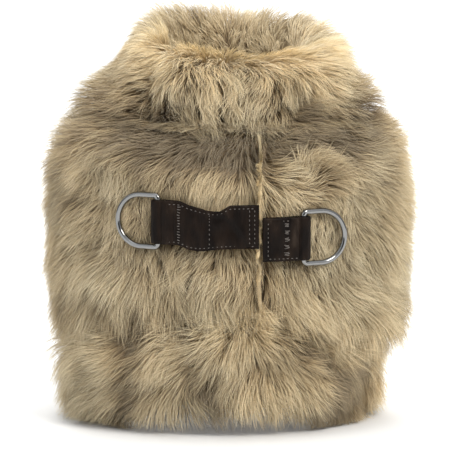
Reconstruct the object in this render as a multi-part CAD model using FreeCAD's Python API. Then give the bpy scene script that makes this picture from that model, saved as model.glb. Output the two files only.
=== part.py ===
import FreeCAD, Part
import math
import os

# Fur harness vest for a small dog. It stands on its hem with the neck up.
# Millimetres, +Z up. The origin is on the floor under the middle of the vest.
# The dog's back and the opening face -Y, and the dog's chest faces +Y.

# The backing fabric, bottom to top: height, half width, half depth.
BACKING_ROWS = [
    (0, 74, 66),
    (25, 79, 70),
    (58, 83, 73),
    (95, 85, 75),
    (130, 84, 74),
    (148, 81, 71),
    (158, 74, 65),
    (165, 63, 56),
]
# The tips of the fur at the same heights.
FUR_ROWS = [
    (0, 88, 80),
    (25, 96, 87),
    (58, 101, 91),
    (95, 104, 94),
    (130, 103, 93),
    (148, 99, 89),
    (158, 91, 81),
    (165, 79, 70),
]
# The turned-over collar's section: radius and height, round its outline.
COLLAR_SECTION = [
    (42, 173),
    (35, 184),
    (34, 199),
    (41, 211),
    (52, 215),
    (64, 208),
    (73, 193),
    (75, 178),
    (68, 166),
    (54, 166),
]
COLLAR_DEPTH_RATIO = 0.92
COLLAR_SLOPE = 0.10
WAIST_HEIGHT = 57.5
SEAM_GAP = 0.3

# Layers, as distances from the backing fabric; outwards is positive.
LINING = (-3.4, -2.2)
WEBBING = (-2.0, -0.4)
HEM_TAPE = (-4.8, -3.6)
HOOK_STRIP = (-2.0, -0.2)
LOOP_STRIP = (-3.4, -2.4)
UNDERLAP = (-4.8, -3.4)
EDGE_BINDING = (-2.0, -0.2)
LEG_BINDING = (-4.4, 3.0)

# The opening down the back, and the parting of the collar above it.
OPENING_X = 17.0
COLLAR_OPENING_X = 7.0
UNDERLAP_LEFT_X = -8.0
UNDERLAP_RIGHT_X = 30.0
UNDERLAP_MARGIN = 1.0
STRIP_RIGHT_X = 15.0
OVERLAP_LOW = 12.0
OVERLAP_HIGH = 148.0
EDGE_WIDTH = 1.4

WEBBING_LOW = 32.0
WEBBING_HIGH = 52.0
HEM_TAPE_HEIGHT = 12.0
LINING_LOW = 1.0

# Leg holes in the chest.
LEG_X = 42.0
LEG_Z = 105.0
LEG_HALF_WIDTH = 21.0
LEG_HALF_HEIGHT = 27.0
LEG_BINDING_WIDTH = 3.0
LEG_BINDING_GAP = 0.1
LEG_BAR_START = 20.0
LEG_BAR_LENGTH = 100.0

# The hinge lines at the sides lean inwards as they rise.
HINGE_X_BOTTOM = 87.0
HINGE_X_TOP = 72.0
HINGE_TOP = 205.0
HINGE_INSET = 0.5
WEDGE_HALF_ANGLE = 29.0
WEDGE_REACH = 60.0
WEDGE_LOW = -20.0
WEDGE_HIGH = 240.0

# The straps, and the D-rings that they hold.
STRAP_WIDTH = 24.0
STRAP_THICKNESS = 2.0
STRAP_LIFT = 14.0
STRAP_POCKET_LIFT = 7.0
RING_POCKET_LIFT = 2.0
POCKET_MARGIN = 2.0
POCKET_END_MARGIN = 8.0
POCKET_PAST_BAR = 4.0
RING_POCKET_OVERLAP = 6.0
TURN_OVER_REACH = 24.0
RING_WIRE = 3.1
RING_INNER_HEIGHT = 25.2
RING_DEPTH = 28.0
RING_CORNER = 2.0
BAR_CLEARANCE = 0.35
RETURN_LENGTH = 26.0
RETURN_BLEND = 12.0
RETURN_CLEARANCE = 0.15
STRAP_STEPS = 8
LOOP_STEPS = 8
RETURN_STEPS = 6
THREAD_RADIUS = 0.35
THREAD_CLEARANCE = 0.02
STITCH_LENGTH = 2.0
STITCH_PITCH = 3.1
CROSS_STITCHES = 6
CROSS_MIDDLE = (2, 3)
CROSS_STITCH_SPAN = (0.2, 0.8)
PATCH = (-2.0, -0.4)
PATCH_HEIGHT_MARGIN = 4.0
PATCH_INNER_MARGIN = 3.0
PATCH_OUTER_MARGIN = 8.0

# One strap on each flap: x of its end at the opening, x of the ring's bar,
# height of its middle, the ring's turn away from +X or -X, and the stitch rows.
STRAPS = {
    "left": {
        "side": -1,
        "end_x": 15.7,
        "bar_x": -39.5,
        "height": 119.0,
        "ring_turn": 29.0,
        "rows": [-33.0, -27.5, -24.5, -10.5, 11.5],
        "cross": (-8.5, 9.0),
    },
    "right": {
        "side": 1,
        "end_x": 18.3,
        "bar_x": 41.5,
        "height": 110.0,
        "ring_turn": 26.0,
        "rows": [21.5, 30.5, 35.0],
        "cross": None,
    },
}
FAR = 300.0
# The back wall lies in this range of y everywhere near the opening and the straps.
BACK_WALL_Y = (-FAR, -20.0)


def ellipse_wire(height, half_width, half_depth):
    ellipse = Part.Ellipse(FreeCAD.Vector(0, 0, height), half_width, half_depth)
    return Part.Wire(ellipse.toShape())


def filled(rows, offset=0.0):
    """The space inside a set of rows, moved outwards by offset."""
    wires = [ellipse_wire(z, w + offset, d + offset) for z, w, d in rows]
    return Part.makeLoft(wires, True)


def layer(span):
    """The wall between two distances from the backing fabric."""
    inner, outer = span
    return filled(BACKING_ROWS, outer).cut(filled(BACKING_ROWS, inner))


def block(x_span=(-FAR, FAR), y_span=(-FAR, FAR), z_span=(-FAR, FAR)):
    low = FreeCAD.Vector(x_span[0], y_span[0], z_span[0])
    return Part.makeBox(
        x_span[1] - x_span[0], y_span[1] - y_span[0], z_span[1] - z_span[0], low
    )


def backing_at(height):
    """Half width and half depth of the backing fabric at a height."""
    for low, high in zip(BACKING_ROWS, BACKING_ROWS[1:]):
        if height <= high[0]:
            break
    share = (height - low[0]) / (high[0] - low[0])
    return [low[i] + share * (high[i] - low[i]) for i in (1, 2)]


def hinge_wedge(side):
    """Room outside a hinge line for the fur of both bodies as a flap opens."""
    spread = WEDGE_REACH * math.tan(math.radians(WEDGE_HALF_ANGLE))
    triangles = []
    for height in (WEDGE_LOW, WEDGE_HIGH):
        lean = (HINGE_X_TOP - HINGE_X_BOTTOM) * height / HINGE_TOP
        apex = side * (HINGE_X_BOTTOM + lean - HINGE_INSET)
        reach = apex + side * WEDGE_REACH
        corners = [(apex, 0), (reach, spread), (reach, -spread), (apex, 0)]
        triangles.append(Part.makePolygon([FreeCAD.Vector(x, y, height) for x, y in corners]))
    return Part.makeLoft(triangles, True, True)


def leg_hole(side, margin=0.0):
    """A bar along Y through the chest, as wide as a leg hole."""
    centre = FreeCAD.Vector(side * LEG_X, LEG_BAR_START, LEG_Z)
    top = centre + FreeCAD.Vector(0, 0, LEG_HALF_HEIGHT + margin)
    edge = centre + FreeCAD.Vector(LEG_HALF_WIDTH + margin, 0, 0)
    face = Part.Face(Part.Wire(Part.Ellipse(top, edge, centre).toShape()))
    return face.extrude(FreeCAD.Vector(0, LEG_BAR_LENGTH, 0))


def whole_collar():
    """The turned-over collar as one ring, a little higher at the throat."""
    points = [FreeCAD.Vector(radius, 0, height) for radius, height in COLLAR_SECTION]
    outline = Part.BSplineCurve()
    outline.interpolate(Points=points, PeriodicFlag=True)
    face = Part.Face(Part.Wire(outline.toShape()))
    ring = face.revolve(FreeCAD.Vector(0, 0, 0), FreeCAD.Vector(0, 0, 1), 360)
    shape = FreeCAD.Matrix()
    shape.A22 = COLLAR_DEPTH_RATIO
    shape.A32 = COLLAR_SLOPE
    return ring.transformGeometry(shape)


def strap_curve(strap, lift):
    """A function from x to the point and outward normal of a strap's line."""
    half_width, half_depth = backing_at(strap["height"])
    half_width += lift
    half_depth += lift

    def at(x):
        y = -half_depth * math.sqrt(1 - (x / half_width) ** 2)
        normal = FreeCAD.Vector(x / half_width**2, y / half_depth**2, 0).normalize()
        return FreeCAD.Vector(x, y, 0), normal

    return at


def ribbon(points, thickness, low, high):
    """A band standing on edge along a plan-view line, from low to high."""
    sides = ([], [])
    for i, point in enumerate(points):
        ahead = points[min(i + 1, len(points) - 1)]
        behind = points[max(i - 1, 0)]
        along = (ahead - behind).normalize()
        across = FreeCAD.Vector(-along.y, along.x, 0) * (thickness / 2)
        lift = FreeCAD.Vector(0, 0, low)
        sides[0].append(point + across + lift)
        sides[1].append(point - across + lift)
    edges = []
    for side in sides:
        curve = Part.BSplineCurve()
        curve.interpolate(side)
        edges.append(curve.toShape())
    for end in (0, -1):
        edges.append(Part.makeLine(sides[0][end], sides[1][end]))
    face = Part.Face(Part.Wire(Part.__sortEdges__(edges)))
    return face.extrude(FreeCAD.Vector(0, 0, high - low))


def bar_centre(strap):
    """Where the ring's bar stands, inside the turned-back end of the strap."""
    point, normal = strap_curve(strap, STRAP_LIFT)(strap["bar_x"])
    return point - normal * sleeve_radius()


def sleeve_radius():
    return RING_WIRE / 2 + BAR_CLEARANCE + STRAP_THICKNESS / 2


def make_strap(strap):
    """The strap runs from the opening, round the ring's bar and back under itself."""
    at = strap_curve(strap, STRAP_LIFT)
    side = strap["side"]
    points = []
    for i in range(STRAP_STEPS):
        x = strap["end_x"] + (strap["bar_x"] - strap["end_x"]) * i / STRAP_STEPS
        points.append(at(x)[0])
    centre = bar_centre(strap)
    normal = at(strap["bar_x"])[1]
    for i in range(LOOP_STEPS + 1):
        turn = FreeCAD.Rotation(FreeCAD.Vector(0, 0, 1), side * 180 * i / LOOP_STEPS)
        points.append(centre + turn.multVec(normal) * sleeve_radius())
    longest = abs(strap["end_x"] - strap["bar_x"]) - STRAP_THICKNESS
    for i in range(1, RETURN_STEPS + 1):
        back = min(RETURN_LENGTH, longest) * i / RETURN_STEPS
        point, normal = at(strap["bar_x"] - side * back)
        share = min(back / RETURN_BLEND, 1.0)
        ease = share * share * (3 - 2 * share)
        under = STRAP_THICKNESS + RETURN_CLEARANCE
        depth = under + (2 * sleeve_radius() - under) * (1 - ease)
        points.append(point - normal * depth)
    half = STRAP_WIDTH / 2
    return ribbon(points, STRAP_THICKNESS, strap["height"] - half, strap["height"] + half)


def thread(start, end):
    """One stitch: a short round thread from start to end."""
    along = end - start
    return Part.makeCylinder(THREAD_RADIUS, along.Length, start, along)


def make_stitching(strap):
    """Rows of stitches across the strap, and a diagonal cross on the long one."""
    at = strap_curve(strap, STRAP_LIFT + STRAP_THICKNESS / 2 + THREAD_RADIUS + THREAD_CLEARANCE)
    stitches = []
    count = int(STRAP_WIDTH / STITCH_PITCH)
    first = strap["height"] - (count - 1) * STITCH_PITCH / 2
    for x in strap["rows"]:
        for i in range(count):
            low = at(x)[0] + FreeCAD.Vector(0, 0, first + i * STITCH_PITCH - STITCH_LENGTH / 2)
            stitches.append(thread(low, low + FreeCAD.Vector(0, 0, STITCH_LENGTH)))
    if strap["cross"]:
        left, right = strap["cross"]
        rise = (count - 1) * STITCH_PITCH / CROSS_STITCHES
        pitch = (right - left) / CROSS_STITCHES
        for way in (-1, 1):
            for i in range(CROSS_STITCHES):
                if way == 1 and i in CROSS_MIDDLE:
                    continue
                ends = []
                for end in CROSS_STITCH_SPAN:
                    height = strap["height"] + way * (i + end - CROSS_STITCHES / 2) * rise
                    point = at(left + (i + end) * pitch)[0]
                    ends.append(point + FreeCAD.Vector(0, 0, height))
                stitches.append(thread(ends[0], ends[1]))
    return Part.makeCompound(stitches)


def make_ring(strap):
    """A welded D of round wire: a straight bar, two short legs and a round bow."""
    half = (RING_INNER_HEIGHT + RING_WIRE) / 2
    depth = RING_DEPTH - RING_WIRE
    corner = RING_CORNER
    lean = corner * (1 - math.sqrt(0.5))
    leg_end = depth - half

    def spot(u, z):
        return FreeCAD.Vector(u, 0, z)

    edges = [
        Part.makeLine(spot(0, -half + corner), spot(0, half - corner)),
        Part.Arc(spot(0, half - corner), spot(lean, half - lean), spot(corner, half)).toShape(),
        Part.makeLine(spot(corner, half), spot(leg_end, half)),
        Part.Arc(spot(leg_end, half), spot(depth, 0), spot(leg_end, -half)).toShape(),
        Part.makeLine(spot(leg_end, -half), spot(corner, -half)),
        Part.Arc(spot(corner, -half), spot(lean, lean - half), spot(0, corner - half)).toShape(),
    ]
    section = Part.Wire(
        Part.makeCircle(RING_WIRE / 2, spot(0, corner - half), FreeCAD.Vector(0, 0, 1))
    )
    ring = Part.Wire(edges).makePipeShell([section], True, True)
    turn = strap["ring_turn"] if strap["side"] > 0 else 180 - strap["ring_turn"]
    ring.rotate(FreeCAD.Vector(0, 0, 0), FreeCAD.Vector(0, 0, 1), turn)
    ring.translate(bar_centre(strap) + FreeCAD.Vector(0, 0, strap["height"]))
    return ring


def strap_pocket(strap):
    """Fur pressed down under a strap, further down under its ring, and where it turns over."""
    bar = strap["bar_x"]
    side = strap["side"]
    strap_half = STRAP_WIDTH / 2 + POCKET_MARGIN
    ring_half = RING_INNER_HEIGHT / 2 + RING_WIRE + POCKET_MARGIN
    ring_end = bar + side * (RING_DEPTH + POCKET_MARGIN)
    strap_end = strap["end_x"] - side * POCKET_END_MARGIN
    past_bar = bar + side * POCKET_PAST_BAR
    rooms = (
        (strap_end, past_bar, strap_half, STRAP_POCKET_LIFT),
        (bar - side * TURN_OVER_REACH, past_bar, ring_half, STRAP_POCKET_LIFT),
        (bar - side * RING_POCKET_OVERLAP, ring_end, ring_half, RING_POCKET_LIFT),
    )
    pocket = None
    for start, end, half, lift in rooms:
        z_span = (strap["height"] - half, strap["height"] + half)
        room = block(sorted((start, end)), BACK_WALL_Y, z_span)
        room = room.cut(filled(BACKING_ROWS, lift))
        pocket = room if pocket is None else pocket.fuse(room)
    return pocket


def body_regions():
    """The space that belongs to each rigid part of the vest."""
    chest = block(y_span=(SEAM_GAP, FAR))
    left = block(x_span=(-FAR, OPENING_X - SEAM_GAP / 2), y_span=(-FAR, -SEAM_GAP))
    right = block(x_span=(OPENING_X + SEAM_GAP / 2, FAR), y_span=(-FAR, -SEAM_GAP))
    wedges = hinge_wedge(-1).fuse(hinge_wedge(1))
    return {
        "chest": chest.cut(wedges),
        "left": left.cut(wedges),
        "right": right.cut(wedges),
    }


def wall_pieces(regions, collar):
    """Fur, waistband, lining, webbing and hem tape of the three bodies."""
    pile = filled(FUR_ROWS).cut(filled(BACKING_ROWS))
    above = block(z_span=(WAIST_HEIGHT + SEAM_GAP / 2, FAR))
    below = block(z_span=(-FAR, WAIST_HEIGHT - SEAM_GAP / 2))
    full = {
        "fur": pile.common(above).cut(collar),
        "waistband": pile.common(below),
        "lining": layer(LINING).common(block(z_span=(LINING_LOW, FAR))).cut(collar),
        "webbing": layer(WEBBING).common(block(z_span=(WEBBING_LOW, WEBBING_HIGH))),
        "hem_tape": layer(HEM_TAPE).common(block(z_span=(LINING_LOW, HEM_TAPE_HEIGHT))),
    }
    pieces = {}
    for body, region in regions.items():
        for name, shape in full.items():
            pieces[f"{body}_{name}"] = shape.common(region)
    return pieces


def collar_pieces(collar):
    """The collar is cut at the side hinges and at its own parting."""
    wedges = hinge_wedge(-1).fuse(hinge_wedge(1))
    half_gap = SEAM_GAP / 2
    spans = {
        "chest_collar": block(y_span=(SEAM_GAP, FAR)),
        "left_collar": block((-FAR, COLLAR_OPENING_X - half_gap), (-FAR, -SEAM_GAP)),
        "right_collar": block((COLLAR_OPENING_X + half_gap, FAR), (-FAR, -SEAM_GAP)),
    }
    return {name: collar.common(span).cut(wedges) for name, span in spans.items()}


def opening_pieces():
    """Hook strip, loop strip, underlap and edge bindings along the opening."""
    z_span = (OVERLAP_LOW, OVERLAP_HIGH)
    y_span = BACK_WALL_Y
    strip = (UNDERLAP_LEFT_X + UNDERLAP_MARGIN, STRIP_RIGHT_X)
    underlap = (UNDERLAP_LEFT_X, UNDERLAP_RIGHT_X)
    left_edge = (STRIP_RIGHT_X + SEAM_GAP, OPENING_X - SEAM_GAP / 2)
    right_edge = (OPENING_X + SEAM_GAP / 2, OPENING_X + EDGE_WIDTH)
    return {
        "hook_strip": layer(HOOK_STRIP).common(block(strip, y_span, z_span)),
        "loop_strip": layer(LOOP_STRIP).common(block(strip, y_span, z_span)),
        "underlap": layer(UNDERLAP).common(block(underlap, y_span, z_span)),
        "left_edge_binding": layer(EDGE_BINDING).common(block(left_edge, y_span, z_span)),
        "right_edge_binding": layer(EDGE_BINDING).common(block(right_edge, y_span, z_span)),
    }


def leg_binding(side):
    outer = leg_hole(side, LEG_BINDING_WIDTH)
    return outer.cut(leg_hole(side)).common(layer(LEG_BINDING))


def strap_backing(strap):
    """A sewn patch inside the wall that spreads the strap's pull."""
    half = STRAP_WIDTH / 2 + PATCH_HEIGHT_MARGIN
    inner = OPENING_X + PATCH_INNER_MARGIN
    if strap["side"] < 0:
        inner = UNDERLAP_LEFT_X - PATCH_INNER_MARGIN
    x_span = sorted((inner, strap["bar_x"] + strap["side"] * PATCH_OUTER_MARGIN))
    z_span = (strap["height"] - half, strap["height"] + half)
    return layer(PATCH).common(block(x_span, BACK_WALL_Y, z_span))


def build():
    regions = body_regions()
    collar = whole_collar()
    pieces = wall_pieces(regions, collar)
    pieces.update(collar_pieces(collar))
    pieces.update(opening_pieces())

    # The left lining stops short of the hook strip; the webbing stops at the overlap.
    overlap_left = UNDERLAP_LEFT_X - UNDERLAP_MARGIN
    overlap = block((overlap_left, OPENING_X), BACK_WALL_Y)
    pieces["left_lining"] = pieces["left_lining"].cut(overlap)
    pieces["left_webbing"] = pieces["left_webbing"].cut(overlap)
    edge = block((overlap_left, OPENING_X + EDGE_WIDTH + SEAM_GAP), BACK_WALL_Y)
    pieces["right_webbing"] = pieces["right_webbing"].cut(edge)
    tape_room = block((overlap_left, UNDERLAP_RIGHT_X + UNDERLAP_MARGIN), BACK_WALL_Y)
    for body in ("left", "right"):
        pieces[f"{body}_hem_tape"] = pieces[f"{body}_hem_tape"].cut(tape_room)

    for side, name in ((-1, "left"), (1, "right")):
        pieces[f"{name}_leg_binding"] = leg_binding(side)
        for layer_name in ("fur", "lining"):
            hole = leg_hole(side, LEG_BINDING_WIDTH + LEG_BINDING_GAP)
            pieces[f"chest_{layer_name}"] = pieces[f"chest_{layer_name}"].cut(hole)

    for name, strap in STRAPS.items():
        pieces[f"{name}_fur"] = pieces[f"{name}_fur"].cut(strap_pocket(strap))
        pieces[f"{name}_strap"] = make_strap(strap)
        pieces[f"{name}_strap_stitching"] = make_stitching(strap)
        pieces[f"{name}_strap_backing"] = strap_backing(strap)
        pieces[f"{name}_d_ring"] = make_ring(strap)
    return pieces


os.makedirs("parts", exist_ok=True)
for node, shape in build().items():
    solids = shape.Solids
    if len(solids) == 1:
        shape = solids[0]
    shape.exportStep(f"parts/{node}.step")
    box = shape.BoundBox
    spans = " ".join(
        f"{low:.1f}..{high:.1f}"
        for low, high in (
            (box.XMin, box.XMax),
            (box.YMin, box.YMax),
            (box.ZMin, box.ZMax),
        )
    )
    print(f"{node}: {len(solids)} solids, {shape.Volume:.0f} mm3, {spans}, {shape.isValid()}")
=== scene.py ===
import math

import bpy
import numpy as np
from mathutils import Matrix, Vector


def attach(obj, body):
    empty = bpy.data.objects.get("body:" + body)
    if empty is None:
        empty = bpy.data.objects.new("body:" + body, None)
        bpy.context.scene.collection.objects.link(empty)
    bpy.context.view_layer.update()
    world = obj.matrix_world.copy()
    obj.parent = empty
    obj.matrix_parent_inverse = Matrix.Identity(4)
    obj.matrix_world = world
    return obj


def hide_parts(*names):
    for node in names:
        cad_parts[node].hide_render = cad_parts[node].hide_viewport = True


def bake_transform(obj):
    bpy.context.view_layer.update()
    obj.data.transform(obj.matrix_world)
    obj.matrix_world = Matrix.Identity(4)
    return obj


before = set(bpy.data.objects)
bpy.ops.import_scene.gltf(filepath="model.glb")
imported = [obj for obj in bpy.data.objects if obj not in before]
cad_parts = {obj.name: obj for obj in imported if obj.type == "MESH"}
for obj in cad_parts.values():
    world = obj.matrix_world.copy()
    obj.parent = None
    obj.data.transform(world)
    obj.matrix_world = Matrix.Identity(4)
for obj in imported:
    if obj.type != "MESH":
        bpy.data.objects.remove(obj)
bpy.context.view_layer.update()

# A fur harness vest for a small dog. Lengths here are millimetres in the CAD frame;
# MM turns them into metres where a mesh is made. The back and the opening face -Y.
MM = 0.001
TAU = 2 * math.pi

# Backing fabric, bottom to top: height, half width, half depth.
BACKING = np.array([
    (-4, 69, 61),
    (0, 71, 63),
    (12, 75, 66),
    (25, 78, 69),
    (58, 83, 73),
    (95, 85.5, 75),
    (130, 86, 75),
    (148, 84.5, 73),
    (158, 81, 69),
    (165, 71, 60),
], float)
WALL_TOP = 164.0
# The collar's cloth from the wall's top edge, in to the neck, over the crest, to the outer
# lip: radius, height.
COLLAR = np.array([
    (72.3, 164.2),
    (55, 167.5),
    (44, 173),
    (40, 183),
    (38, 195),
    (41, 203.5),
    (46, 207),
    (52, 203.5),
    (56, 195),
    (58.5, 184),
    (59, 173),
], float)
COLLAR_CREST = 0.6
COLLAR_PATH = 95.0
COLLAR_SPREAD = 15.0
COLLAR_TUCK = 8.0
COLLAR_DEPTH_RATIO = 0.92
COLLAR_SQUARE = 0.08
YOKE_SHARE = 0.11
# Mean radii of the wall, the collar and the slope between them, and the back's own.
WALL_RADIUS, COLLAR_RADIUS, YOKE_RADIUS = 79, 56, 64
BACK_RADIUS = 82
COLLAR_SLOPE = 0.16
COLLAR_LEAN = 0.10
COLLAR_DROOP = 7.0
COLLAR_CREASE_ANGLE = -0.72
COLLAR_CREASE_DEPTH = 10.0
COLLAR_DENT_ANGLE, COLLAR_DENT_SHARE, COLLAR_DENT_DEPTH = 0.62, 0.86, 6.0
WAIST_HEIGHT = 57.5
WAIST_RISE = 10.0
WAIST_DROP_RIGHT = 12.0
WAIST_DROP_LEFT = 10.0
WAIST_PINCH = 6.0
WAIST_PINCH_REACH = 5.0
BAND_TUCK = 7.0
BAND_FLARE = 2.5
HEM_LOW = 0.3
HEM_RISE = 20.0
OPENING_X = 17.0
COLLAR_OPENING_X = 7.0
LEG_X, LEG_Z = 42.0, 105.0
LEG_HALF_WIDTH, LEG_HALF_HEIGHT = 21.0, 27.0
LEG_BINDING_WIDTH = 3.0

STRAP_WIDTH = 24.0
STRAP_THICKNESS = 2.0
STRAP_TILT, STRAP_SAG, STRAP_BELLY, STRAP_NOTCH = 1.6, 1.0, 1.5, 3.4
STITCH_INSET = 2.2
RING_WIRE = 3.1
RING_INNER_HEIGHT = 25.2
RING_DEPTH = 28.0
RING_CORNER = 2.0
BAR_CLEARANCE = 0.35
SLEEVE = RING_WIRE / 2 + BAR_CLEARANCE + STRAP_THICKNESS / 2
# "lift" is the strap's height above the backing that puts each ring's bar on its joint's axis.
STRAPS = {
    "left": {"side": -1, "end_x": 15.7, "bar_x": -39.5, "height": 119.0, "lift": 12.76, "ring_turn": 29.0},
    "right": {"side": 1, "end_x": 18.3, "bar_x": 41.5, "height": 110.0, "lift": 13.07, "ring_turn": 26.0},
}
# The long strap's outer end is a second layer whose inner edge runs slantwise.
FOLD_TOP_X, FOLD_SLOPE, FOLD_RISE, FOLD_REACH = -6.0, -0.72, 2.0, 0.7
STITCH_ROWS = {"left": (-10.5, 10.8, 13.5), "right": (21.0,)}
STITCH_BOX = {"left": (-33.0, 13.5), "right": (21.0, 37.5)}
# Bar tacks: x of the middle, half width, groups up the strap, threads in a group.
BAR_TACKS = {"left": (-27.0, 1.1, 13, 1), "right": (31.2, 1.8, 5, 3)}
BAR_TACK_PITCH, BAR_TACK_SLANT = 0.7, 0.35
STRAP_CREASES = {"left": (-37.2, -30.2), "right": (38.8,)}
STITCH_PITCH, STITCH_LENGTH, THREAD = 2.3, 1.0, 0.22

# The fur: ribbons in a layer that runs from root to tip and from shade to shade.
STRAND_LAYER = "OFBake"
STRAND_STEPS = 4
STRAND_WIDTH = 0.40
FUR_LENGTH, FUR_HEIGHT, FUR_LEAN = 24.0, 19.0, (13.0, 66.0)
# Strands to a square millimetre.
WALL_DENSITY, COLLAR_DENSITY, YOKE_DENSITY = 1.75, 1.9, 1.6
FRINGE_STRANDS, FRINGE_LENGTH = 5200, 19.0
MOST_STRANDS = 38000
PRESSED_RISE = 7.5
# The fur of the back fans out from one spot, the waistband's from another, with one whorl.
FAN_X, FAN_Z = 4.0, 175.0
TUFT_X, TUFT_Z, TUFT_STRANDS = 9.0, 74.0, 2500
NOTCH_X, NOTCH_TOP = 29.0, 34.0
SWIRL_X, SWIRL_Z, SWIRL_REACH = 39.0, 142.0, 10.0

CAMERA_DISTANCE = 2.5
CAMERA_ELEVATION = 7.5
CAMERA_AIM_HEIGHT = 104.6
CAMERA_VIEW = 5.86
WORLD_STRENGTH = 0.73
# Lamps: place and target in metres, width, power, colour.
LAMPS = {
    "key": ((0.75, -1.1, 1.25), (0, 0, 0.1), 0.7, 16.0, (1.0, 0.955, 0.88)),
    "fill": ((-1.2, -0.9, 0.5), (0, 0, 0.1), 1.0, 1.2, (0.90, 0.94, 1.0)),
    "back": ((-0.3, 1.2, 1.1), (0, 0, 0.1), 0.9, 8.0, (1.0, 0.98, 0.95)),
    "far_floor": ((0, 3.2, 2.6), (0, 3.0, 0), 2.2, 32.0, (1.0, 1.0, 1.0)),
}
FLOOR_HALF = 6.0
BODIES = ("chest", "left_flap", "right_flap")

draw = np.random.default_rng(20)


# ---------------------------------------------------------------- surfaces

def smooth_rows(at, rows, column):
    """A smooth curve through one column of rows, read at heights or shares."""
    xs, ys = rows[:, 0], rows[:, column]
    slopes = np.gradient(ys, xs)
    i = np.clip(np.searchsorted(xs, at) - 1, 0, len(xs) - 2)
    step = xs[i + 1] - xs[i]
    t = np.clip((at - xs[i]) / step, 0, 1)
    t2, t3 = t * t, t * t * t
    return (
        (2 * t3 - 3 * t2 + 1) * ys[i]
        + (t3 - 2 * t2 + t) * step * slopes[i]
        + (3 * t2 - 2 * t3) * ys[i + 1]
        + (t3 - t2) * step * slopes[i + 1]
    )


def ease(value):
    value = np.clip(value, 0, 1)
    return value * value * (3 - 2 * value)


def bell(value, middle, reach):
    """1 at the middle, falling smoothly to 0 on both sides."""
    return np.exp(-(((value - middle) / reach) ** 2))


def wrapped(phi):
    return np.mod(phi + math.pi, TAU) - math.pi


def waist_line(phi):
    """Height of the waistband's seam: it rises at the back and drops at both sides."""
    phi = wrapped(phi)
    drop = WAIST_DROP_RIGHT * bell(phi, 1.35, 0.55) + WAIST_DROP_LEFT * bell(phi, -1.6, 0.45)
    return WAIST_HEIGHT + WAIST_RISE * bell(phi, -0.15, 0.6) - drop


def hem_line(phi):
    """Height of the hem: it is lifted in the middle of the back."""
    return HEM_LOW + HEM_RISE * bell(wrapped(phi), 0.0, 0.85)


def wall_point(phi, z, lift=0.0):
    """A point of the vest's wall. phi is 0 at the back (-Y) and grows towards +X.

    The wall is drawn in where the waistband is sewn on, and the band's right side is tucked in.
    """
    seam = waist_line(phi)
    low = ease((seam - z) / 9)
    pinch = WAIST_PINCH * bell(z, seam, WAIST_PINCH_REACH)
    pinch += low * BAND_TUCK * bell(wrapped(phi), 1.5, 0.75)
    pinch -= low * BAND_FLARE * bell(wrapped(phi), -1.5, 0.7)
    half_width = smooth_rows(z, BACKING, 1) + lift - pinch
    half_depth = smooth_rows(z, BACKING, 2) + lift - pinch
    return np.stack([half_width * np.sin(phi), -half_depth * np.cos(phi), z + 0 * phi], -1)


COLLAR_SHARES = np.column_stack([np.linspace(0, 1, len(COLLAR)), COLLAR])


def collar_point(phi, share, lift=0.0):
    """A point of the collar. share runs from the wall's top edge (0) to the outer lip (1)."""
    def section(s):
        return smooth_rows(s, COLLAR_SHARES, 1), smooth_rows(s, COLLAR_SHARES, 2)

    radius, height = section(share)
    ahead = section(np.minimum(share + 0.01, 1))
    behind = section(np.maximum(share - 0.01, 0))
    along_r, along_h = ahead[0] - behind[0], ahead[1] - behind[1]
    size = np.hypot(along_r, along_h)
    radius = radius - lift * along_h / size
    height = height + lift * along_r / size
    radius = radius - COLLAR_CREASE_DEPTH * collar_crease(phi, share)
    radius = radius - COLLAR_DENT_DEPTH * collar_dent(phi, share)
    radius = radius + COLLAR_SPREAD * ease((share - 0.86) / 0.14) * np.sin(phi) ** 2
    radius = radius - COLLAR_TUCK * bell(wrapped(phi), -1.5, 0.8) * bell(share, 0.68, 0.18)
    tilt = ease(share / 0.25)
    lean = COLLAR_LEAN * bell(share, 0.5, 0.28)
    droop = COLLAR_DROOP * share**3 * bell(wrapped(phi), 0.1, 0.6)
    square = COLLAR_SQUARE * bell(share, 0.55, 0.25)
    x = radius * ((1 + square) * np.sin(phi) + square * np.sin(3 * phi))
    # At its root the collar is as deep as the wall's top edge, which it is sewn to.
    ratio = COLLAR_DEPTH_RATIO - 0.075 * (1 - ease(share / YOKE_SHARE))
    y = -ratio * radius * np.cos(phi)
    return np.stack([x, y, height + tilt * (COLLAR_SLOPE * y - lean * x) - droop], -1)


def collar_crease(phi, share):
    """1 along the fold that runs down the collar's left side, 0 away from it."""
    return bell(wrapped(phi), COLLAR_CREASE_ANGLE, 0.12) * ease((share - 0.45) / 0.2)


def collar_dent(phi, share):
    """1 in the middle of the hollow on the collar's right side, 0 away from it."""
    return bell(wrapped(phi), COLLAR_DENT_ANGLE, 0.2) * bell(share, COLLAR_DENT_SHARE, 0.13)


def unit(vectors):
    """Vectors of length 1 along the last axis."""
    return vectors / np.linalg.norm(vectors, axis=-1, keepdims=True)


def surface_frame(point, phi, row, row_step):
    """Point, outward normal, direction round the vest and direction down it."""
    round_way = unit(point(phi + 0.01, row) - point(phi - 0.01, row))
    down_way = unit(point(phi, row + row_step) - point(phi, row - row_step))
    normal = unit(np.cross(down_way, round_way))
    return point(phi, row), normal, round_way, down_way


def smooth_noise(u, v, wavelength, seed, terms=9):
    """Soft noise from -1 to 1 over a plane, built from plain waves."""
    source = np.random.default_rng(seed)
    total = np.zeros_like(u)
    for _ in range(terms):
        angle = source.uniform(0, TAU)
        length = wavelength * source.uniform(0.7, 1.6)
        phase = source.uniform(0, TAU)
        total += np.sin((u * math.cos(angle) + v * math.sin(angle)) * TAU / length + phase)
    return np.tanh(total / math.sqrt(terms) * 1.1)


# ---------------------------------------------------------------- meshes

def add_object(name, data):
    item = bpy.data.objects.new(name, data)
    bpy.context.scene.collection.objects.link(item)
    return item


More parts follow.
